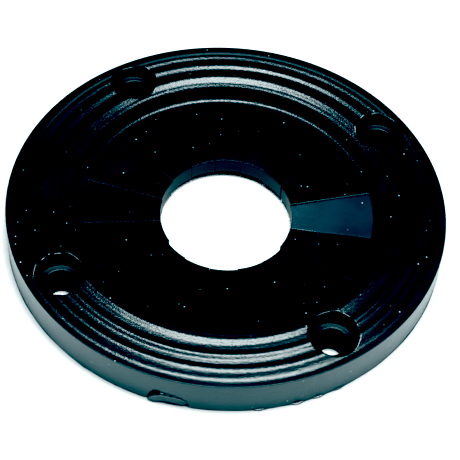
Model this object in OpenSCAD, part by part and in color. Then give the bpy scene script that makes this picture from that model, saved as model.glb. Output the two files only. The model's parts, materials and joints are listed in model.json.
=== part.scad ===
// Moulded rubber toilet flange: a thick ridged ring with four countersunk bolt
// wells, closed in the middle by sixteen slit fingers that fold out of the way
// of a pipe and spring back. Units are millimetres, +Z is up, and the origin is
// on the flange's axis at its flat underside.

/* [Ring] */
// Outside diameter of the ring
flange_d = 178; // [176:1:182]
// Height of the ring's outer edge above its flat underside
edge_h = 16; // [15.5:0.5:18]
// Rounding along the top outer edge
shoulder_r = 0.4; // [0.2:0.1:1]
// Chamfer along the bottom inner edge
base_chamfer = 0.8; // [0.4:0.2:1.2]

/* [Bolt wells] */
// Diameter of the circle that the bolts stand on
bolt_circle_d = 152; // [150:0.5:153]
// Number of bolt wells
bolt_count = 4; // [2:1:6]
// Direction of the first well, measured from +X
first_bolt_angle = 35; // [0:1:89]
// Diameter of each well at its mouth
well_mouth_d = 19.4; // [17:0.2:20]
// Diameter of each well at its floor
well_floor_d = 17.4; // [14:0.2:18]
// Height of each well's floor above the underside
well_floor_h = 11.4; // [9:0.2:12]
// Diameter of the bolt hole through each well's floor
bolt_hole_d = 9; // [7:0.5:10]
// Diameter of the countersink at the well's floor
sink_d = 13; // [11:0.5:13.5]
// Depth of the countersink below the well's floor
sink_depth = 2; // [1:0.5:3]

/* [Fingers] */
// Direction of one slit, measured from +X
first_slit_angle = -10; // [-11:1:11]
// Diameter of the hole that the fingertips leave open
pipe_hole_d = 53.4; // [50:0.2:58]
// Thickness of each finger
finger_t = 6.9; // [6.5:0.1:7]
// Angle that each finger slopes down towards its tip
finger_slope = 4.6; // [3:0.2:5]
// Distance of each finger's flexing line from the axis
flex_r = 55.5; // [55:0.1:55.8]
// Height of each finger's flexing line above the underside
flex_h = 7.8; // [7.4:0.1:8.2]
// Radius of the round bead at each finger's root
bead_r = 3.6; // [3.5:0.05:3.7]
// Gap between each bead and the ring
bead_gap = 0.2; // [0.1:0.05:0.3]
// Half of the slit's width between two fingertips
slit_half = 0.25; // [0.2:0.05:0.4]
// Half of the slit's width at the roots, which keeps folding fingers apart
root_relief = 0.9; // [0.8:0.05:1.2]

/* [Mould marks] */
// Direction of the torn mould gate, measured from +X
gate_angle = 259; // [250:1:264]
// Radius of the ball-shaped tear that the gate left
tear_r = 11; // [9:0.5:12]
// Depth of the tear into the ring's side
tear_depth = 3.5; // [2.5:0.5:4]
// Height of the tear's centre above the underside
tear_h = 1; // [0.5:0.5:2]
// Height of the torn tongue's arched top above the underside
tongue_h = 6.8; // [5:0.2:7]
// Height of the arched gap under the torn tongue
tongue_gap = 2.7; // [1.5:0.1:3]
// How far the torn tongue stays inside the ring's side
tongue_inset = 0.7; // [0.4:0.1:1]
// Width of the flash that the mould's parting line left
flash_w = 0.5; // [0.3:0.1:0.8]
// Thickness of that flash
flash_t = 0.4; // [0.3:0.1:0.6]

/* [Hidden] */
$fn = 96;
flange_r = flange_d / 2;
finger_count = 16; // one node for each finger
finger_pitch = 360 / finger_count;
flat_r = flex_r + bead_r + bead_gap; // distance of the ring's inner flats
seat_r = 60.4; // radius where the ring's slope meets the fingers
seat_drop = 4.4; // depth of that line below the outer edge
relief_l = 7; // length over which a slit narrows from its root
wave_steps = 6; // straight stretches in each half wave
tear_half_w = sqrt(tear_r ^ 2 - (tear_r - tear_depth) ^ 2 - tear_h ^ 2); // at the foot

// Crests and troughs of the ridged face, from the outer edge inwards, as
// [distance in from the side, height above the outer edge].
waves = [
    [2.8, 0.15], [4.9, 1.0], [7.0, 1.9], [9.8, 1.4], [13.3, 2.3],
    [16.2, 1.5], [20.2, 2.4], [25.0, 0.5], [flange_r - seat_r, -seat_drop]
];

// A point on the half cosine that joins two crests or troughs.
function wave_point(a, b, share) = [
    flange_r - (a[0] + (b[0] - a[0]) * share),
    edge_h + a[1] + (b[1] - a[1]) * (1 - cos(180 * share)) / 2
];

// The ring's section, once round, as [distance from the axis, height].
function ring_section() = concat(
    [[flat_r - 2, base_chamfer], [seat_r + base_chamfer, 0], [flange_r, 0]],
    [for (a = [0:15:90])
        [flange_r - shoulder_r + shoulder_r * cos(a), edge_h - shoulder_r + shoulder_r * sin(a)]],
    [for (i = [0:len(waves) - 2], s = [0:wave_steps - 1])
        wave_point(waves[i], waves[i + 1], s / wave_steps)],
    [[seat_r, edge_h - seat_drop], [flat_r - 2, edge_h - seat_drop]]
);

// Everything inside the ring's flats, one flat facing each finger's root.
module inside_of_flats() {
    corner_r = flat_r / cos(finger_pitch / 2);
    translate([0, 0, -1])
        linear_extrude(edge_h + 4)
            polygon([for (i = [0:finger_count - 1])
                corner_r * [cos(first_slit_angle + i * finger_pitch),
                            sin(first_slit_angle + i * finger_pitch)]]);
}

module bolt_well() {
    rise = 3;
    flare = (well_mouth_d - well_floor_d) / 2 / (edge_h - well_floor_h);
    translate([0, 0, -1])
        cylinder(d = bolt_hole_d, h = edge_h + 2);
    translate([0, 0, well_floor_h - sink_depth])
        cylinder(d1 = bolt_hole_d, d2 = sink_d, h = sink_depth);
    translate([0, 0, well_floor_h])
        cylinder(r1 = well_floor_d / 2,
                 r2 = well_mouth_d / 2 + rise * flare,
                 h = edge_h - well_floor_h + rise);
}

module gate_tear() {
    rotate([0, 0, gate_angle])
        translate([flange_r + tear_r - tear_depth, 0, tear_h])
            sphere(r = tear_r);
}

module ridged_ring() {
    color([0.03, 0.035, 0.04])
    difference() {
        rotate_extrude()
            polygon(ring_section());
        inside_of_flats();
        for (i = [0:bolt_count - 1])
            rotate([0, 0, first_bolt_angle + i * 360 / bolt_count])
                translate([bolt_circle_d / 2, 0, 0])
                    bolt_well();
        gate_tear();
    }
}

// A thin lip round the foot of the ring, open where the gate was.
module mould_flash() {
    color([0.05, 0.06, 0.065])
    difference() {
        cylinder(r = flange_r + flash_w, h = flash_t);
        translate([0, 0, -1])
            cylinder(r = flange_r, h = flash_t + 2);
        rotate([0, 0, gate_angle])
            translate([flange_r - 5, -tear_half_w, -1])
                cube([10, 2 * tear_half_w, flash_t + 2]);
    }
}

// A round arch over the tear's foot, running from the axis outwards.
module arch(rise) {
    r = (rise ^ 2 + tear_half_w ^ 2) / (2 * rise);
    rotate([0, 0, gate_angle])
        translate([flange_r - 10, 0, rise - r])
            rotate([0, 90, 0])
                cylinder(r = r, h = 20);
}

// The rubber left standing in the tear, arched above and below.
module torn_gate_tongue() {
    color([0.07, 0.085, 0.09])
    difference() {
        intersection() {
            gate_tear();
            cylinder(r = flange_r - tongue_inset, h = tongue_h, $fn = 360);
            arch(tongue_h);
        }
        arch(tongue_gap);
    }
}

// Outline between two slits, seen from above, pointing along +X. The slits are
// wider at the roots, because a folding finger's upper edge swings inwards.
module finger_outline() {
    half = finger_pitch / 2;
    tip_x = pipe_hole_d / 2 - 4;
    knee_x = flex_r - relief_l;
    root_x = flex_r + bead_r + 1;
    tip_y = tip_x * tan(half) - slit_half;
    knee_y = knee_x * tan(half) - slit_half;
    root_y = flex_r * tan(half) - root_relief;
    polygon([
        [tip_x, -tip_y], [knee_x, -knee_y], [flex_r, -root_y], [root_x, -root_y],
        [root_x, root_y], [flex_r, root_y], [knee_x, knee_y], [tip_x, tip_y]
    ]);
}

module finger(number) {
    reach = flex_r - pipe_hole_d / 2 + 6;
    color([0.04, 0.045, 0.05])
    rotate([0, 0, first_slit_angle + (number - 0.5) * finger_pitch])
        difference() {
            intersection() {
                translate([flex_r, 0, flex_h])
                    rotate([0, -finger_slope, 0])
                        union() {
                            translate([-reach, -flex_r / 2, -finger_t / 2])
                                cube([reach, flex_r, finger_t]);
                            rotate([90, 0, 0])
                                cylinder(r = bead_r, h = flex_r, center = true);
                        }
                translate([0, 0, -1])
                    linear_extrude(edge_h)
                        finger_outline();
            }
            translate([0, 0, -1])
                cylinder(d = pipe_hole_d, h = edge_h);
        }
}

ridged_ring();
mould_flash();
torn_gate_tongue();
finger(1);  // finger_01
finger(2);  // finger_02
finger(3);  // finger_03
finger(4);  // finger_04
finger(5);  // finger_05
finger(6);  // finger_06
finger(7);  // finger_07
finger(8);  // finger_08
finger(9);  // finger_09
finger(10);  // finger_10
finger(11);  // finger_11
finger(12);  // finger_12
finger(13);  // finger_13
finger(14);  // finger_14
finger(15);  // finger_15
finger(16);  // finger_16
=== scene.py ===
# %% [markdown]
# # A slit rubber flange
# The object is one black rubber moulding: a thick ring with rounded ridges and four
# bolt wells, and a thin middle that is cut into sixteen fingers round an opening.
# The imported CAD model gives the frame, so the main sizes below start from its boxes,
# its mounts or its joints. Nothing here moves or resizes a CAD part.

import json
import math

import bmesh
import bpy
import numpy as np
from mathutils import Matrix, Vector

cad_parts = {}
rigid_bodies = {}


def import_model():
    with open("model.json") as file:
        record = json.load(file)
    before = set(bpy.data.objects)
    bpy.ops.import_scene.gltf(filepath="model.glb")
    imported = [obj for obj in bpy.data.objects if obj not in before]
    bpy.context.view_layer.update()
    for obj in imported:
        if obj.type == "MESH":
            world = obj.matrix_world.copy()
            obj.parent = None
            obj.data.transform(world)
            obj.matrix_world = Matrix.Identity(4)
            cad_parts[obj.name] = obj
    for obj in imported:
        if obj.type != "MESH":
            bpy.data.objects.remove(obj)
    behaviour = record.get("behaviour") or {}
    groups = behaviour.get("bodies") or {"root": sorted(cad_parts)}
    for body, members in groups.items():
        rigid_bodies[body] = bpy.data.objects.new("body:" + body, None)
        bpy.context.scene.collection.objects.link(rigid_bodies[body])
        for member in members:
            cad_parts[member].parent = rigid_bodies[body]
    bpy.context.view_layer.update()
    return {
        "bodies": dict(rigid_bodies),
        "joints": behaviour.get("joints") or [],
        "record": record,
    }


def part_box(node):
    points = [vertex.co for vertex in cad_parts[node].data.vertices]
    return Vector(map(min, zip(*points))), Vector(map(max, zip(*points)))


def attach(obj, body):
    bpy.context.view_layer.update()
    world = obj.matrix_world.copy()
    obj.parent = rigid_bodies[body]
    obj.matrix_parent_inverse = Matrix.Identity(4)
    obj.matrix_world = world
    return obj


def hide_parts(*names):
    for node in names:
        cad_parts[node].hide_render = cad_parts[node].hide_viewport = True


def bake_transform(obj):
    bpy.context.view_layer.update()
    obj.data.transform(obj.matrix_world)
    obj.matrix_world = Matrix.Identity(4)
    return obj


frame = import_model()

# %% [markdown]
# ## Driving sizes
# A flange is turned and bored from a few radii. The CAD model states them as mounts
# and boxes, so they are read from there and not typed twice. What only the looks
# need, such as the rounding of an edge, is named here in metres.

# %% Driving sizes
MM = 0.001
mounts = {m["name"]: m for m in frame["record"]["mounts"]}
_, ring_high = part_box("ridged_ring")
RIM_R = ring_high.x
CREST = 2.4 * MM  # how far the CAD ring's highest ridge stands above its outer edge
EDGE_Z = ring_high.z - CREST
SHOULDER = 0.25 * MM  # rounding of the top outer edge
SEAT_R = 59.8 * MM  # where the ring's slope meets the fingers
SEAT_DROP = 4.8 * MM  # how far that line lies below the outer edge
SEAT_Z = EDGE_Z - SEAT_DROP
OPEN_R = mounts["pipe_opening"]["dims"]["r_mm"] * MM
BOLT_R = mounts["bolt_holes"]["dims"]["pcd_mm"] / 2 * MM
HOLE_R = mounts["bolt_holes"]["dims"]["hole_r_mm"] * MM
SINK_Z = mounts["bolt_holes"]["pos_m"][2]  # where the countersink ends and the plain hole starts
SINK_R = 6.5 * MM
SINK_DEPTH = 2 * MM
WELL_Z = SINK_Z + SINK_DEPTH
WELL_MOUTH_R = 9.7 * MM
WELL_FLOOR_R = 8.7 * MM
openings = frame["record"]["physics"]["openings"]
ways = [o["box_m"] for o in openings if o["name"].startswith("bolt_way")]
BOLT_ANGLES = [math.atan2(low[1] + high[1], low[0] + high[0]) for low, high in ways]
print("rim radius", round(RIM_R, 4), "edge height", round(EDGE_Z, 4), "opening", OPEN_R)

# %% [markdown]
# ## Meshes from whole arrays
# Every piece below is a closed skin made of loops of points. These helpers turn
# arrays of points and index arrays of faces into a mesh, and check that the skin
# is closed and faces outwards, because an open seam would spoil the part.


# %% Mesh helpers
SHARP = math.radians(38)  # two faces that meet more sharply than this keep a crease


def strips(first, second):
    """Quads between two closed loops of the same length: each pair of neighbours on
    the first loop is joined to the same pair on the second."""
    return np.stack([first, np.roll(first, -1), np.roll(second, -1), second], 1)


def halving(fine, coarse):
    """Triangles between a closed loop of 2n points and one of n points: every coarse
    point serves two fine ones, so three triangles fill each coarse step."""
    a, b, c = fine[0::2], fine[1::2], np.roll(fine, -2)[0::2]
    d, e = coarse, np.roll(coarse, -1)
    return np.concatenate([np.stack(t, 1) for t in ((a, b, d), (b, c, e), (b, e, d))])


def grid_faces(ids):
    """Quads of a grid of point numbers: each cell joins its four corners."""
    return np.stack([ids[:-1, :-1], ids[1:, :-1], ids[1:, 1:], ids[:-1, 1:]], -1).reshape(-1, 4)


def fan(loop):
    """Triangles that close a loop: its first point is joined to every other pair of
    neighbours."""
    return np.stack([np.full_like(loop[1:-1], loop[0]), loop[1:-1], loop[2:]], 1)


def make_piece(name, points, face_sets, materials):
    """A closed mesh object. Each face set is (array of faces, material number), and
    points that no face uses are left out."""
    used = np.unique(np.concatenate([f.ravel() for f, _ in face_sets]))
    number = np.zeros(len(points), int)
    number[used] = np.arange(len(used))
    faces, slots = [], []
    for group, material in face_sets:
        faces += number[group].tolist()
        slots += [material] * len(group)
    mesh = bpy.data.meshes.new(name)
    mesh.from_pydata(points[used].tolist(), [], faces)
    mesh.polygons.foreach_set("material_index", slots)
    for material in materials:
        mesh.materials.append(material)
    work = bmesh.new()
    work.from_mesh(mesh)
    bmesh.ops.recalc_face_normals(work, faces=work.faces[:])
    if work.calc_volume(signed=True) < 0:
        bmesh.ops.reverse_faces(work, faces=work.faces[:])
    open_edges = sum(not edge.is_manifold for edge in work.edges)
    triangles = sum(len(face.verts) - 2 for face in work.faces)
    work.to_mesh(mesh)
    work.free()
    mesh.shade_smooth()
    mesh.set_sharp_from_angle(angle=SHARP)
    piece = bpy.data.objects.new(name, mesh)
    bpy.context.scene.collection.objects.link(piece)
    print(f"{name}: {triangles} triangles, {open_edges} open edges")
    return piece


def smooth_step(x):
    """Runs from 0 to 1 as x does, level at both ends."""
    x = np.clip(x, 0, 1)
    return x * x * (3 - 2 * x)


# %% [markdown]
# ## Rubber
# Moulded rubber is black all through and shines like a polished stone: what the eye
# sees is almost only the room mirrored in it, weakly face on and strongly at a
# glance. So the colour stays close to black, and the detail is in the skin: a fine
# grain from the mould, smudges that dull the shine, and specks of white dust. One
# function makes each finish, because ring, cut faces and torn rubber share it and
# differ only in colour, shine, grain and dust.


# %% Sizes of the marks on the skin
SMUDGE_SCALE = 38.0  # smudges per metre, so each is two or three centimetres across
SAG_SCALE = 95.0  # slow dents, about a centimetre across
SAG_DEPTH = 0.16 * MM
GRAIN_SCALE = 1500.0  # the mould's grain, under a millimetre across
SPECK_SCALE = 260.0  # cells of nearly four millimetres, which may hold a speck each
SPECK_RIM, SPECK_CORE = 0.092, 0.058  # where a speck starts and is full, as shares of a cell
SPECK_SPREAD = 0.055  # how much smaller the smallest speck is than the largest, as a share of a cell
DUST_COLOUR = (0.42, 0.47, 0.47, 1)
WORN_LIGHTER = 2.2  # how much lighter a smudge is than clean rubber


# %% Rubber finishes
def node_of(tree, kind, place, **values):
    """A shader node with its inputs set by name."""
    node = tree.nodes.new(kind)
    node.location = place
    for key, value in values.items():
        node.inputs[key.replace("_", " ")].default_value = value
    return node


def ramp(tree, source, low, high, place):
    """Stretches a value so that low becomes 0 and high becomes 1, held between."""
    node = tree.nodes.new("ShaderNodeMapRange")
    node.location = place
    node.inputs["From Min"].default_value = low
    node.inputs["From Max"].default_value = high
    tree.links.new(source, node.inputs["Value"])
    return node.outputs["Result"]


def rubber(name, shade, gloss, dull, smudge, grain, dust):
    """Black rubber. Gloss is the strength of its mirror skin. Roughness is dull, plus
    smudge where a soft noise is high; grain is the height of the mould's texture in
    metres; dust is how many cells in a hundred carry a white speck."""
    material = bpy.data.materials.new(name)
    material.use_nodes = True
    tree = material.node_tree
    links = tree.links
    shader = tree.nodes["Principled BSDF"]
    place = tree.nodes.new("ShaderNodeTexCoord")
    place.location = (-1400, 0)
    here = place.outputs["Object"]

    cloud = node_of(tree, "ShaderNodeTexNoise", (-1150, 300), Scale=SMUDGE_SCALE, Detail=5.0, Roughness=0.6)
    links.new(here, cloud.inputs["Vector"])
    worn = ramp(tree, cloud.outputs["Fac"], 0.46, 0.72, (-900, 300))
    rough = node_of(tree, "ShaderNodeMapRange", (-300, 250), To_Min=dull, To_Max=dull + smudge)
    links.new(worn, rough.inputs["Value"])
    links.new(rough.outputs["Result"], shader.inputs["Roughness"])

    cells = node_of(tree, "ShaderNodeTexVoronoi", (-1150, -50), Scale=SPECK_SCALE)
    links.new(here, cells.inputs["Vector"])
    chance = tree.nodes.new("ShaderNodeSeparateColor")
    chance.location = (-1150, -250)
    links.new(cells.outputs["Color"], chance.inputs["Color"])
    sized = tree.nodes.new("ShaderNodeMath")
    sized.operation = "MULTIPLY_ADD"
    sized.location = (-950, -50)
    sized.inputs[1].default_value = SPECK_SPREAD
    links.new(chance.outputs["Green"], sized.inputs[0])
    links.new(cells.outputs["Distance"], sized.inputs[2])
    speck = ramp(tree, sized.outputs["Value"], SPECK_RIM, SPECK_CORE, (-900, -50))
    clean = 1 - dust / 100
    chosen = ramp(tree, chance.outputs["Red"], clean - 0.001, clean, (-700, -250))
    dusty = tree.nodes.new("ShaderNodeMath")
    dusty.operation = "MULTIPLY"
    dusty.location = (-500, -150)
    links.new(speck, dusty.inputs[0])
    links.new(chosen, dusty.inputs[1])

    tone = tree.nodes.new("ShaderNodeMix")
    tone.data_type = "RGBA"
    tone.location = (-500, 100)
    tone.inputs["A"].default_value = (*shade, 1)
    tone.inputs["B"].default_value = (*[min(1, WORN_LIGHTER * c) for c in shade], 1)
    links.new(worn, tone.inputs["Factor"])
    speckled = tree.nodes.new("ShaderNodeMix")
    speckled.data_type = "RGBA"
    speckled.location = (-250, 0)
    speckled.inputs["B"].default_value = DUST_COLOUR
    links.new(tone.outputs["Result"], speckled.inputs["A"])
    links.new(dusty.outputs["Value"], speckled.inputs["Factor"])
    links.new(speckled.outputs["Result"], shader.inputs["Base Color"])

    slow = node_of(tree, "ShaderNodeTexNoise", (-1150, -750), Scale=SAG_SCALE, Detail=4.0, Roughness=0.5)
    links.new(here, slow.inputs["Vector"])
    sag = node_of(tree, "ShaderNodeBump", (-600, -600), Distance=SAG_DEPTH, Strength=1.0)
    links.new(slow.outputs["Fac"], sag.inputs["Height"])
    fine = node_of(tree, "ShaderNodeTexNoise", (-1150, -500), Scale=GRAIN_SCALE, Detail=2.0, Roughness=0.6)
    links.new(here, fine.inputs["Vector"])
    bump = node_of(tree, "ShaderNodeBump", (-300, -400), Distance=grain, Strength=1.0)
    links.new(fine.outputs["Fac"], bump.inputs["Height"])
    links.new(sag.outputs["Normal"], bump.inputs["Normal"])
    links.new(bump.outputs["Normal"], shader.inputs["Normal"])
    links.new(bump.outputs["Normal"], shader.inputs["Coat Normal"])

    shader.inputs["IOR"].default_value = 1.52
    shader.inputs["Specular IOR Level"].default_value = 0.18 * gloss
    shader.inputs["Coat Weight"].default_value = gloss
    shader.inputs["Coat Roughness"].default_value = 0.4 * dull
    shader.inputs["Coat IOR"].default_value = 1.48
    shader.inputs["Specular Tint"].default_value = (0.70, 0.97, 1.0, 1)
    shader.inputs["Coat Tint"].default_value = (0.85, 0.98, 1.0, 1)
    return material


# Each line gives name, colour, gloss, dullness, smudge, grain and dust.
RING_RUBBER = rubber("moulded_rubber", (0.0008, 0.0012, 0.0015), 0.66, 0.28, 0.12, 0.105 * MM, 85)
FINGER_RUBBER = rubber("slit_rubber", (0.0006, 0.0010, 0.0013), 0.62, 0.28, 0.14, 0.018 * MM, 55)
# The twisted finger's skin is duller, and its colour is a painted sheen: a teal well above the other rubbers
# that stands for the faint light its face mirrors.
PAINTED_SHEEN_RUBBER = rubber("painted_sheen_rubber", (0.0022, 0.0080, 0.0125), 0.62, 0.42, 0.06, 0.040 * MM, 55)
CUT_RUBBER = rubber("knife_cut_rubber", (0.0010, 0.0018, 0.0024), 0.17, 0.34, 0.14, 0.050 * MM, 15)
WELL_RUBBER = rubber("well_rubber", (0.0008, 0.0012, 0.0016), 0.22, 0.26, 0.10, 0.060 * MM, 20)
BORE_RUBBER = rubber("bored_rubber", (0.0008, 0.0012, 0.0016), 0.05, 0.40, 0.10, 0.040 * MM, 5)
TORN_RUBBER = rubber("ragged_rubber", (0.0030, 0.0050, 0.0056), 0.72, 0.36, 0.16, 0.090 * MM, 15)
print("finishes:", [m.name for m in bpy.data.materials])

# %% [markdown]
# ## The ridged face
# The ring's top is a section turned about the axis. The ridges are soft waves, so
# the section is a row of crests and troughs joined by half cosines, which meet
# without a corner. Only the innermost slope ends in one, at its crest. A lathe would
# make it perfect; the moulding isn't, so a slow ripple a few hundredths of a
# millimetre deep runs round it.

# %% The ridged section
# Each pair is a crest, a trough or a bend: its distance from the axis, then its
# height above the outer edge, both in millimetres.
WAVES = np.array([
    (SEAT_R / MM, -SEAT_DROP / MM), (64.0, 0.5), (65.4, 0.9), (68.8, 2.15), (71.6, 1.45), (73.4, 1.35),
    (75.9, 2.1), (78.6, 1.2), (79.6, 1.1), (81.8, 1.62), (86.8, -0.08), (89.0, 0.0),
])
CREST_R, CREST_Z = WAVES.T * MM
CREST_Z = CREST_Z + EDGE_Z


def face_height(r, angle):
    """Height of the ridged face: between two neighbouring crests or troughs it
    follows half a cosine, the innermost slope is a parabola that leaves the fingers
    level and ends steep at its crest, and a faint ripple goes round with the angle."""
    step = np.clip(np.searchsorted(CREST_R, r, side="right") - 1, 0, len(CREST_R) - 2)
    share = np.clip((r - CREST_R[step]) / (CREST_R[step + 1] - CREST_R[step]), 0, 1)
    eased = np.where(step == 0, share ** 2, (1 - np.cos(np.pi * share)) / 2)
    height = CREST_Z[step] + (CREST_Z[step + 1] - CREST_Z[step]) * eased
    inside = smooth_step((r - SEAT_R) / (5 * MM)) * smooth_step((RIM_R - r) / (4 * MM))
    ripple = 0.6 * np.sin(5 * angle + 210 * r / RIM_R) + 0.4 * np.sin(17 * angle + 1.3)
    return height + 0.04 * MM * inside * ripple


# %% [markdown]
# ## The torn gate
# Rubber enters the mould through a gate at the foot of the wall. When the moulding
# was pulled away the gate tore a bite out of the edge, deep at one side, and left
# a tongue standing in it. The bite is a dent pushed into the wall: inside an arch
# drawn on the wall the surface sinks fast, then levels off.

# %% The torn gate's outline
tongue_low, tongue_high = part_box("torn_gate_tongue")
GATE_ANGLE = math.atan2(tongue_low.y + tongue_high.y, tongue_low.x + tongue_high.x)
GATE_ANGLE += math.radians(0.15)  # the tongue hangs a little to one side
TEAR_HALF = 8.3 * MM  # half of the bite's width at the foot
TEAR_DEPTH = 3.4 * MM
TEAR_EDGE = 0.5 * MM  # width of the bite's steep edge
# The bite's ragged top: places along it as shares of its half width, then heights in mm.
TEAR_PLACE = [-1.0, -0.9, -0.72, -0.55, -0.42, -0.27, -0.12, 0.05, 0.2, 0.6, 0.85, 1.0]
TEAR_TOP = [0.0, 3.4, 6.3, 7.4, 7.1, 6.0, 6.6, 6.4, 5.6, 5.4, 4.2, 0.0]


def tear_depth(along, z):
    """How far the wall sinks at a place on it: under a ragged outline, whose height
    is read between a few points, it sinks to full depth within half a millimetre."""
    share = along / TEAR_HALF
    ragged = 0.16 * MM * np.sin(along / MM * 2.9 + 0.5) + 0.10 * MM * np.sin(along / MM * 6.3)
    top = np.interp(share, TEAR_PLACE, TEAR_TOP) * MM + ragged * (np.abs(share) < 0.9)
    sides = (1 - np.abs(share)) * TEAR_HALF / TEAR_EDGE
    return TEAR_DEPTH * smooth_step((top - z) / TEAR_EDGE) * smooth_step(sides)


print("torn gate at", round(math.degrees(GATE_ANGLE) % 360, 1), "degrees")

# %% [markdown]
# ## The ring
# The ring could be cut from a turned blank with booleans, but a boolean leaves
# ragged edges where a well cuts three ridges, and those rims catch the light. So
# the skin is laid out loop by loop: round loops of points follow the section, and round
# each well a patch of loops runs from the patch's border in to the well's rim, over
# its lip, down to its floor and through the bolt hole. The underside needs half the
# points, so the loops are halved where they reach it.

# %% Columns and stations
def turn_between(angles, start):
    """Signed angle from start to each angle, the short way round."""
    return np.angle(np.exp(1j * (angles - start)))


COLUMNS = 576
GATE_REACH = math.radians(6.6)  # the columns this near the torn gate are four times as dense
base_angles = 2 * np.pi * np.arange(COLUMNS) / COLUMNS
near_gate = (np.abs(turn_between(base_angles, GATE_ANGLE)) < GATE_REACH).nonzero()[0]
extra = base_angles[near_gate][:, None] + np.array([1, 2, 3]) * base_angles[1] / 4
ANGLES = np.sort(np.concatenate([base_angles, extra.ravel()]))
if len(ANGLES) % 2:
    ANGLES = ANGLES[:-1]
FOOT_ROUND = 0.3 * MM
BASE_CHAMFER = 0.8 * MM
PATCH_OUT = 87.2 * MM  # outer and inner edge of the patches that hold the wells
PATCH_IN = 64.0 * MM
PATCH_STEPS = 44
PATCH_REACH = 0.165  # half of a patch's width, as an angle in radians
top_out = np.linspace(RIM_R - SHOULDER, PATCH_OUT, 3)
top_patch = np.linspace(PATCH_OUT, PATCH_IN, PATCH_STEPS + 1)
top_in = np.linspace(PATCH_IN, SEAT_R, 13)
TOP_R = np.concatenate([top_out[:-1], top_patch, top_in[1:]])
PATCH_FIRST = len(top_out) - 1
PATCH_LAST = PATCH_FIRST + PATCH_STEPS

# %% The turned skin
points, count = [], 0


def add_points(x, y, z):
    """Adds an array of points and returns their numbers in the same shape."""
    global count
    block = np.stack(np.broadcast_arrays(x, y, z), -1)
    points.append(block.reshape(-1, 3))
    ids = count + np.arange(block[..., 0].size).reshape(block.shape[:-1])
    count += ids.size
    return ids


def turned(radii, heights, angles=ANGLES):
    """Point numbers of loops round the axis, one loop for each radius and height."""
    r, z = np.broadcast_arrays(np.asarray(radii), np.asarray(heights))
    return add_points(r[:, None] * np.cos(angles), r[:, None] * np.sin(angles), z[:, None])


wall_z = np.linspace(FOOT_ROUND, EDGE_Z - SHOULDER, 27)
along_wall = RIM_R * turn_between(ANGLES, GATE_ANGLE)
sunk = tear_depth(along_wall[None, :], wall_z[:, None])
wall = add_points((RIM_R - sunk) * np.cos(ANGLES), (RIM_R - sunk) * np.sin(ANGLES), wall_z[:, None])
bend = np.radians(np.linspace(0, 90, 8))[1:-1]
shoulder = turned(RIM_R - SHOULDER * (1 - np.cos(bend)), EDGE_Z - SHOULDER * (1 - np.sin(bend)))
top = add_points(TOP_R[:, None] * np.cos(ANGLES), TOP_R[:, None] * np.sin(ANGLES),
                 face_height(TOP_R[:, None], ANGLES[None, :]))
inner = turned(SEAT_R, np.linspace(SEAT_Z, BASE_CHAMFER, 7)[1:])
skin = np.concatenate([wall, shoulder, top, inner])
print("turned skin:", skin.shape, "points")

# %% The underside's loops
HALF = ANGLES[0::2]
foot_sunk = tear_depth(RIM_R * turn_between(HALF, GATE_ANGLE), 0)
foot = add_points((RIM_R - FOOT_ROUND - foot_sunk) * np.cos(HALF),
                  (RIM_R - FOOT_ROUND - foot_sunk) * np.sin(HALF), 0)
under_patch = top_patch[0::2]
under_in = np.linspace(PATCH_IN, SEAT_R + BASE_CHAMFER, 4)[1:]
UNDER_R = np.concatenate([under_patch, under_in])
under = turned(UNDER_R, 0, HALF)

# %% Wells
def window(angle, every):
    """First and last column of a well's patch, on even columns, for a grid that
    keeps every column or every second one."""
    mid = int(np.argmin(np.abs(turn_between(ANGLES, angle))))
    steps = int(round(PATCH_REACH / base_angles[1] / 2)) * 2
    mid -= mid % 2
    return (mid - steps) // every, (mid + steps) // every


def border(ids, first, last, left, right):
    """The closed loop of point numbers round a rectangle of a grid: along the first
    row, down the right side, back along the last row and up the left side."""
    columns = np.arange(left, right + 1) % ids.shape[1]
    rows = np.arange(first, last + 1)
    return np.concatenate([ids[first, columns[:-1]], ids[rows[:-1], columns[-1]],
                           ids[last, columns[:0:-1]], ids[rows[:0:-1], columns[0]]])


def kept_faces(ids, windows):
    """Quads round a turned grid, leaving out the patches' rectangles."""
    rows, columns = ids.shape[0] - 1, ids.shape[1]
    keep = np.ones((rows, columns), bool)
    for first, last, left, right in windows:
        keep[first:last, np.arange(left, right) % columns] = False
    across = np.roll(ids, -1, 1)
    quads = np.stack([ids[:-1], across[:-1], across[1:], ids[1:]], -1)
    return quads[keep]


LIP = 0.5 * MM  # rounding of a well's mouth
TOE = 0.4 * MM  # rounding between its wall and its floor
SOFT = 0.25 * MM  # softening of the countersink's two edges
WELL_LOOPS = 13  # strips from under the lip to halfway down the countersink
BORE_LOOPS = 4  # strips from there to the foot of the bore


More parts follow.
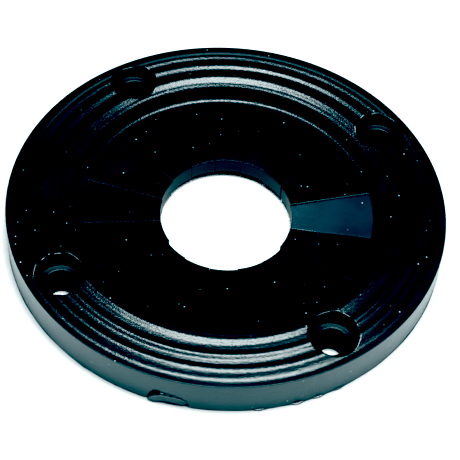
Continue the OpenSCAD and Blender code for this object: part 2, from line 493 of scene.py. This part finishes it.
def sink_well(angle, top_loop, under_loop):
    """Faces in three sets: round one well, in its bore and inside the well. Each loop
    has as many points as the patch's border, and a point stays on its own ray from
    the well's centre all the way down. Below, every second ray is enough."""
    centre = BOLT_R * np.array([math.cos(angle), math.sin(angle)])
    all_points = np.concatenate(points)
    start = all_points[top_loop]
    ray = np.arctan2(start[:, 1] - centre[1], start[:, 0] - centre[0])
    unit = np.stack([np.cos(ray), np.sin(ray)], 1)
    reach = np.hypot(start[:, 0] - centre[0], start[:, 1] - centre[1])
    quarter = np.radians([22.5, 45, 67.5, 90])
    mouth = WELL_MOUTH_R + LIP

    def loop(radius, z):
        xy = centre + unit * np.broadcast_to(radius, ray.shape)[:, None]
        return add_points(xy[:, 0], xy[:, 1], np.broadcast_to(z, ray.shape))

    def face_z(radius):
        xy = centre + unit * np.broadcast_to(radius, ray.shape)[:, None]
        return face_height(np.hypot(xy[:, 0], xy[:, 1]), np.arctan2(xy[:, 1], xy[:, 0]))

    loops = [top_loop]
    for share in np.linspace(0, 1, 11)[1:]:
        radius = reach + (mouth - reach) * share
        loops.append(loop(radius, face_z(radius)))
    rim_z = face_z(mouth)
    loops += [loop(mouth - LIP * np.sin(a), rim_z - LIP * (1 - np.cos(a))) for a in quarter]
    high, low = rim_z - LIP, WELL_Z + TOE
    for share in (0.2, 0.4, 0.6, 0.8, 1.0):
        radius = WELL_MOUTH_R + (WELL_FLOOR_R - WELL_MOUTH_R) * share
        loops.append(loop(radius, high + (low - high) * share))
    loops += [loop(WELL_FLOOR_R - TOE * (1 - np.cos(a)), WELL_Z + TOE * (1 - np.sin(a))) for a in quarter]
    loops += [loop(SINK_R + SOFT, WELL_Z), loop(SINK_R + 0.3 * SOFT, WELL_Z - 0.25 * SOFT)]
    loops += [loop(SINK_R - 0.7 * SOFT, WELL_Z - 0.75 * SOFT)]
    loops += [loop((SINK_R + HOLE_R) / 2, WELL_Z - SINK_DEPTH / 2)]
    loops += [loop(HOLE_R + SOFT, SINK_Z + SOFT), loop(HOLE_R, SINK_Z - SOFT)]
    loops += [loop(HOLE_R, z) for z in (SINK_Z * 0.5, FOOT_ROUND)]
    faces = [strips(a, b) for a, b in zip(loops[:-1], loops[1:])]
    bore = faces[-BORE_LOOPS:]
    inside = faces[-BORE_LOOPS - WELL_LOOPS:-BORE_LOOPS]
    faces = faces[:-BORE_LOOPS - WELL_LOOPS]
    unit, ray = unit[0::2], ray[0::2]
    coarse = [loop(HOLE_R + FOOT_ROUND, 0)]
    out = all_points[under_loop]
    out_reach = np.hypot(out[:, 0] - centre[0], out[:, 1] - centre[1])
    for share in (0.25, 0.5, 0.75):
        coarse.append(loop(HOLE_R + FOOT_ROUND + (out_reach - HOLE_R - FOOT_ROUND) * share, 0))
    coarse.append(under_loop)
    faces.append(halving(loops[-1], coarse[0]))
    faces += [strips(a, b) for a, b in zip(coarse[:-1], coarse[1:])]
    return faces, bore, inside


# %% Closing the ring
top_row = len(wall) + len(shoulder)
top_windows = [(top_row + PATCH_FIRST, top_row + PATCH_LAST, *window(a, 1)) for a in BOLT_ANGLES]
under_windows = [(0, PATCH_STEPS // 2, *window(a, 2)) for a in BOLT_ANGLES]
ring_faces = [kept_faces(skin, top_windows), kept_faces(under, under_windows)]
ring_faces += [halving(skin[0], foot), strips(foot, under[0]), halving(skin[-1], under[-1])]
ring_sets = [(f, 0) for f in ring_faces]
for angle, above, below in zip(BOLT_ANGLES, top_windows, under_windows):
    faces, bore, inside = sink_well(angle, border(skin, *above), border(under, *below))
    ring_sets += [(f, 0) for f in faces] + [(f, 1) for f in bore] + [(f, 2) for f in inside]
ring = make_piece("ridged_ring_skin", np.concatenate(points), ring_sets,
                  [RING_RUBBER, BORE_RUBBER, WELL_RUBBER])
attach(ring, "flange")
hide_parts("ridged_ring")

# %% [markdown]
# ## The fingers
# The middle of the moulding is a shallow funnel, slit by a knife into sixteen
# fingers. Each finger is a thick wedge: its top is a piece of the funnel, its sides
# are flat cuts and its tip is an arc of the opening. The skin is a grid on top, a
# row of loops that roll over the edge and down the cut, and a grid below. No two
# fingers lie alike, because each has been pushed and has crept back by itself, so
# every one has a small lift and twist of its own that fades out at its root.

# %% One finger
FINGERS = sorted(name for name in frame["bodies"] if name.startswith("finger"))
PITCH = 2 * np.pi / len(FINGERS)
SLOPE = math.tan(math.radians(4.6))  # how steeply the funnel falls towards the opening
THICK = 6.9 * MM
ROOT_R = SEAT_R + 0.6 * MM  # a finger's root reaches a little into the ring
ALONG, ACROSS = 44, 22  # points from tip to root, and from one cut to the other
EDGE = 0.04 * MM  # rounding along a fresh cut
STIFF_ROOT = 1.5 * MM  # the stretch at the root that stays where it was moulded


def wedge_point(s, t, inset, tip_r, gap):
    """Place on the wedge's outline from two shares: s runs from tip to root, and t
    runs from one cut to the other; the inset moves all four sides inwards."""
    r = (tip_r + inset) + (ROOT_R - inset - tip_r - inset) * s
    half = PITCH / 2 - np.arcsin((gap + inset) / r)
    return r, half * t


def finger_skin(azimuth, tip_r, gap, lift, twist, edge_round):
    """The closed skin of one finger and its faces by finish. Height is the funnel's
    line plus lift and twist, which grow smoothly from the root to the tip, less the
    depth of the layer. The edge runs once round the grid, and each layer is a copy
    of it, drawn in by as much as the rounding asks."""
    s, t = np.meshgrid(np.linspace(0, 1, ALONG), np.linspace(-1, 1, ACROSS), indexing="ij")
    edge = np.concatenate([np.arange(ACROSS), np.arange(1, ALONG) * ACROSS + ACROSS - 1,
                           ALONG * ACROSS - 1 - np.arange(1, ACROSS), np.arange(ALONG - 2, 0, -1) * ACROSS])
    edge_s, edge_t = s.ravel()[edge], t.ravel()[edge]
    roll = np.radians([30, 60, 90])
    layers = [(edge_round * (1 - math.sin(a)), edge_round * (1 - math.cos(a))) for a in roll]
    layers += [(0.0, THICK * share) for share in (0.25, 0.5, 0.75)]
    layers += [(edge_round * (1 - math.sin(a)), THICK - edge_round * (1 - math.cos(a))) for a in roll[::-1]]

    def place(share_s, share_t, inset, depth):
        r, angle = wedge_point(share_s, share_t, inset, tip_r, gap)
        free = smooth_step((SEAT_R - STIFF_ROOT - r) / (SEAT_R - OPEN_R))
        side = r * np.sin(angle)
        z = SEAT_Z - (SEAT_R - r) * SLOPE + free * (lift + twist * side) - depth
        return np.stack([r * np.cos(azimuth + angle), r * np.sin(azimuth + angle), z], -1)

    grids = [place(s.ravel(), t.ravel(), edge_round, depth) for depth in (0, THICK)]
    rings = [place(edge_s, edge_t, inset, depth) for inset, depth in layers]
    body = np.concatenate([*grids, *rings])
    ids = np.arange(ALONG * ACROSS).reshape(ALONG, ACROSS)
    below = ids + ids.size
    loops = [edge] + [2 * ids.size + n * len(edge) + np.arange(len(edge)) for n in range(len(rings))]
    loops.append(edge + ids.size)
    sides = [strips(a, b) for a, b in zip(loops[:-1], loops[1:])]
    glossy = [grid_faces(ids), grid_faces(below), *sides[:3], *sides[-3:]]
    return body, [(f, 0) for f in glossy] + [(f, 1) for f in sides[3:-3]]


# %% Sixteen fingers
rng = np.random.default_rng(16)
OWN_LIFT = rng.uniform(-0.03, 0.03, len(FINGERS))
OWN_TWIST = rng.uniform(-0.003, 0.003, len(FINGERS))
OWN_TIP = rng.uniform(0.0, 0.35, len(FINGERS))
PROUD = {10: 0.35, 16: 0.25}  # millimetres by which a few fingers stand above the next one
WORN = {2: 0.16, 10: 0.14, 16: 0.09}  # rounding, in millimetres, of the few fingers with a worn edge
SHRUNK = 2  # the finger that has drawn back from both its slits
SLIT_HALF = 0.08 * MM  # half of a closed slit's width
WIDE_HALF = 0.55 * MM  # the same beside the finger that has drawn back
TWISTED = 1  # the finger that has turned, so that its face catches light
TWIST = 0.155  # slope across that finger's tip
CREEP = 2.6 * MM  # the funnel has crept up by this much on one side and down on the other
SETTLE = -0.75 * MM  # how far all tips have sunk
REST = -1.6 * MM  # a finger can't sink further, because its underside meets the floor
BACK_OFF = 0.8  # a finger stopped by the floor draws back by this share of what it can't sink

joints = {j["child"]: j for j in frame["joints"]}
for number, name in enumerate(FINGERS, 1):
    pivot = np.array(joints[name]["pos_m"])
    azimuth = math.atan2(pivot[1], pivot[0])
    wanted = SETTLE + CREEP * math.sin(azimuth) + (OWN_LIFT[number - 1] + PROUD.get(number, 0)) * MM
    lift = max(wanted, REST)
    tip_r = OPEN_R + OWN_TIP[number - 1] * MM + BACK_OFF * (lift - wanted)
    twist = OWN_TWIST[number - 1] + (TWIST if number == TWISTED else 0)
    gap = WIDE_HALF if number == SHRUNK else SLIT_HALF
    body, faces = finger_skin(azimuth, tip_r, gap, lift, twist, WORN.get(number, EDGE / MM) * MM)
    # The twisted finger gets the finish whose teal colour is a painted sheen.
    face_rubber = PAINTED_SHEEN_RUBBER if number == TWISTED else FINGER_RUBBER
    piece = make_piece(name + "_skin", body, faces, [face_rubber, CUT_RUBBER])
    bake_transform(piece)
    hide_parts(name)

# %% [markdown]
# ## The torn tongue
# In the bite stands a strip of torn rubber, arched above and below and pointed at
# both ends. It is a section carried along an arc: a rounded box with a raised line
# on its outer side, which thins out at each end.

# %% The torn tongue
STATIONS, SECTION = 64, 40  # points along the tongue and round its section
HALF_THICK = 1.1 * MM
RAISED_LINE = 0.35 * MM  # height of the line of torn rubber near its top
# Each pair is a place along the bite, from -1 to 1, and a height or distance in mm.
TONGUE_TOP = [
    (-1.0, 0.6), (-0.8, 3.6), (-0.55, 5.6), (-0.35, 6.2), (0.2, 6.1), (0.6, 5.7), (0.85, 3.9), (1.0, 0.5),
]
TONGUE_FOOT = [(-1.0, 0.05), (-0.6, 0.3), (-0.1, 1.2), (0.4, 1.1), (1.0, 0.05)]
TONGUE_OUT = [(-1.0, 1.1), (-0.6, 1.0), (-0.2, 0.4), (0.3, 0.3), (0.7, 0.1), (1.0, -0.7)]


def tongue_skin():
    """Loops of a section along the bite: top, foot and outer side are read between a
    few points, the section is a rounded box (its corner power is 4) with a raised
    line near its top, and it thins out at both ends."""
    share = np.linspace(-1, 1, STATIONS)[:, None]
    turn = np.linspace(0, 2 * np.pi, SECTION, endpoint=False)[None, :]
    lines = (TONGUE_TOP, TONGUE_FOOT, TONGUE_OUT)
    high, low, out = [np.interp(share, *zip(*line)) * MM for line in lines]
    c, w = np.cos(turn), np.sin(turn)
    box = (c ** 4 + w ** 4) ** -0.25
    ragged = 1 + 0.03 * np.sin(23 * share + 3 * turn)
    z = (low + high) / 2 + (high - low) / 2 * w * box * ragged
    end = np.clip(1 - np.abs(share) ** 8, 0, 1) ** 0.5
    raised = RAISED_LINE * np.exp(-((turn - 0.75) / 0.16) ** 2)
    r = RIM_R + out - HALF_THICK + (HALF_THICK * c * box + raised) * end
    angle = GATE_ANGLE + share * (TEAR_HALF - 0.15 * MM) / RIM_R
    return np.stack(np.broadcast_arrays(r * np.cos(angle), r * np.sin(angle), z), -1)


tongue_grid = tongue_skin()
ids = np.arange(STATIONS * SECTION).reshape(STATIONS, SECTION)
tongue_faces = [strips(ids[n], ids[n + 1]) for n in range(STATIONS - 1)]
ends = [fan(ids[row]) for row in (0, -1)]
tongue = make_piece("torn_tongue_skin", tongue_grid.reshape(-1, 3),
                    [(f, 0) for f in tongue_faces + ends], [TORN_RUBBER])
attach(tongue, "flange")
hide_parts("torn_gate_tongue")

# %% [markdown]
# ## The flash
# Where the two halves of a mould meet, a film of rubber squeezes out and leaves a
# thin lip. It is a tapering section carried round the foot, wider in some places
# than others, with a few nibs, and it stops at the torn gate.

# %% The flash
GATE_CLEAR = (TEAR_HALF + 0.4 * MM) / RIM_R
LIP_STATIONS = 1400
lip_angles = np.linspace(GATE_ANGLE + GATE_CLEAR, GATE_ANGLE + 2 * np.pi - GATE_CLEAR, LIP_STATIONS)
NIB_HALF = 0.022  # half of a nib's width, as an angle in radians
# Each pair is a nib: its direction in degrees and how far it stands out in mm.
NIBS = [(281.5, 0.45), (291.0, 0.75), (296.5, 0.55), (302.0, 0.35), (236.0, 0.2), (75.0, 0.3), (160.0, 0.25)]


def flash_width(angle):
    """Width of the lip: a thin film with a slow swell, plus a bump at each nib."""
    width = 0.16 + 0.05 * np.sin(9 * angle) + 0.04 * np.sin(31 * angle + 1)
    for degrees, size in NIBS:
        away = turn_between(angle, math.radians(degrees))
        width = width + size * np.exp(-(away / NIB_HALF) ** 2)
    return width * MM


width = flash_width(lip_angles)[:, None]
buried = np.full_like(width, -0.3 * MM)  # the section starts and ends inside the wall
lip_r = RIM_R + np.concatenate([buried, width * 0.6, width, width * 0.6, buried], 1)
lip_z = np.array([0.46, 0.40, 0.22, 0.03, 0.02])[None, :] * MM
lip_x = lip_r * np.cos(lip_angles)[:, None]
lip_y = lip_r * np.sin(lip_angles)[:, None]
lip = np.stack(np.broadcast_arrays(lip_x, lip_y, lip_z), -1)
ids = np.arange(lip[..., 0].size).reshape(lip.shape[:2])
lip_faces = [strips(ids[n], ids[n + 1]) for n in range(len(ids) - 1)]
ends = [fan(ids[row]) for row in (0, -1)]
flash = make_piece("mould_flash_skin", lip.reshape(-1, 3), [(f, 0) for f in lip_faces + ends], [RING_RUBBER])
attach(flash, "flange")
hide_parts("mould_flash")

# %% [markdown]
# ## Floor, light and camera
# Black rubber shows only what it mirrors, so the light is placed by asking what
# each surface should mirror. The wall mirrors the pale floor. A slope that faces the
# viewer mirrors what is overhead, and a level face mirrors what is behind it. One
# broad soft light overhead, and little else above the horizon, then draws the
# ridges as bright bands on black.


# %% Floor and light
def pale_floor():
    """A flat pale sheet, far wider than the view."""
    mesh = bpy.data.meshes.new("floor")
    half = 4.0
    corners = [(-half, -half, 0), (half, -half, 0), (half, half, 0), (-half, half, 0)]
    mesh.from_pydata(corners, [], [(0, 1, 2, 3)])
    material = bpy.data.materials.new("pale_paper")
    material.use_nodes = True
    shader = material.node_tree.nodes["Principled BSDF"]
    shader.inputs["Base Color"].default_value = (0.73, 0.755, 0.76, 1)
    shader.inputs["Roughness"].default_value = 0.7
    shader.inputs["Specular IOR Level"].default_value = 0.2
    mesh.materials.append(material)
    floor = bpy.data.objects.new("floor", mesh)
    bpy.context.scene.collection.objects.link(floor)


def soft_light(name, place, width, depth, power, colour):
    """An oval area light that looks straight at the object."""
    data = bpy.data.lights.new(name, "AREA")
    data.shape = "ELLIPSE"
    data.size = width
    data.size_y = depth
    data.energy = power
    data.color = colour
    lamp = bpy.data.objects.new(name, data)
    lamp.location = place
    lamp.rotation_euler = (-lamp.location).to_track_quat("-Z", "Y").to_euler()
    bpy.context.scene.collection.objects.link(lamp)


pale_floor()
soft_light("overhead", (0.05, -0.01, 1.0), 0.49, 0.91, 26.5, (0.97, 1.0, 1.0))

# %% The dim room
world = bpy.data.worlds.new("dim_room")
world.use_nodes = True
background = world.node_tree.nodes["Background"]
background.inputs["Color"].default_value = (0.014, 0.024, 0.034, 1)
bpy.context.scene.world = world

# %% Camera
ELEVATION = math.radians(50.02)  # how high the camera looks down from
ROLL = math.radians(-4.02)
DISTANCE = 6.6 * RIM_R
BLACK_LEVEL = (0.084, 0.027, 0.014)  # deep shadows lose their red first, so black looks cold
back = np.array([0, -math.cos(ELEVATION), math.sin(ELEVATION)])
right, up = np.array([1.0, 0, 0]), np.array([0, math.sin(ELEVATION), math.cos(ELEVATION)])
camera_right = math.cos(ROLL) * right - math.sin(ROLL) * up
camera_up = math.sin(ROLL) * right + math.cos(ROLL) * up
camera_place = np.array([0, 0, EDGE_Z]) + DISTANCE * back

camera_data = bpy.data.cameras.new("camera")
camera_data.lens = 113.55
camera_data.shift_x = 0.0068
camera_data.shift_y = -0.0632
camera = bpy.data.objects.new("camera", camera_data)
bpy.context.scene.collection.objects.link(camera)
pose = np.eye(4)
pose[:3] = np.stack([camera_right, camera_up, back, camera_place], 1)
camera.matrix_world = Matrix(pose)
bpy.context.scene.camera = camera
look = bpy.context.scene.view_settings
look.view_transform = "Standard"
look.use_curve_mapping = True
look.curve_mapping.black_level = BLACK_LEVEL
look.curve_mapping.update()
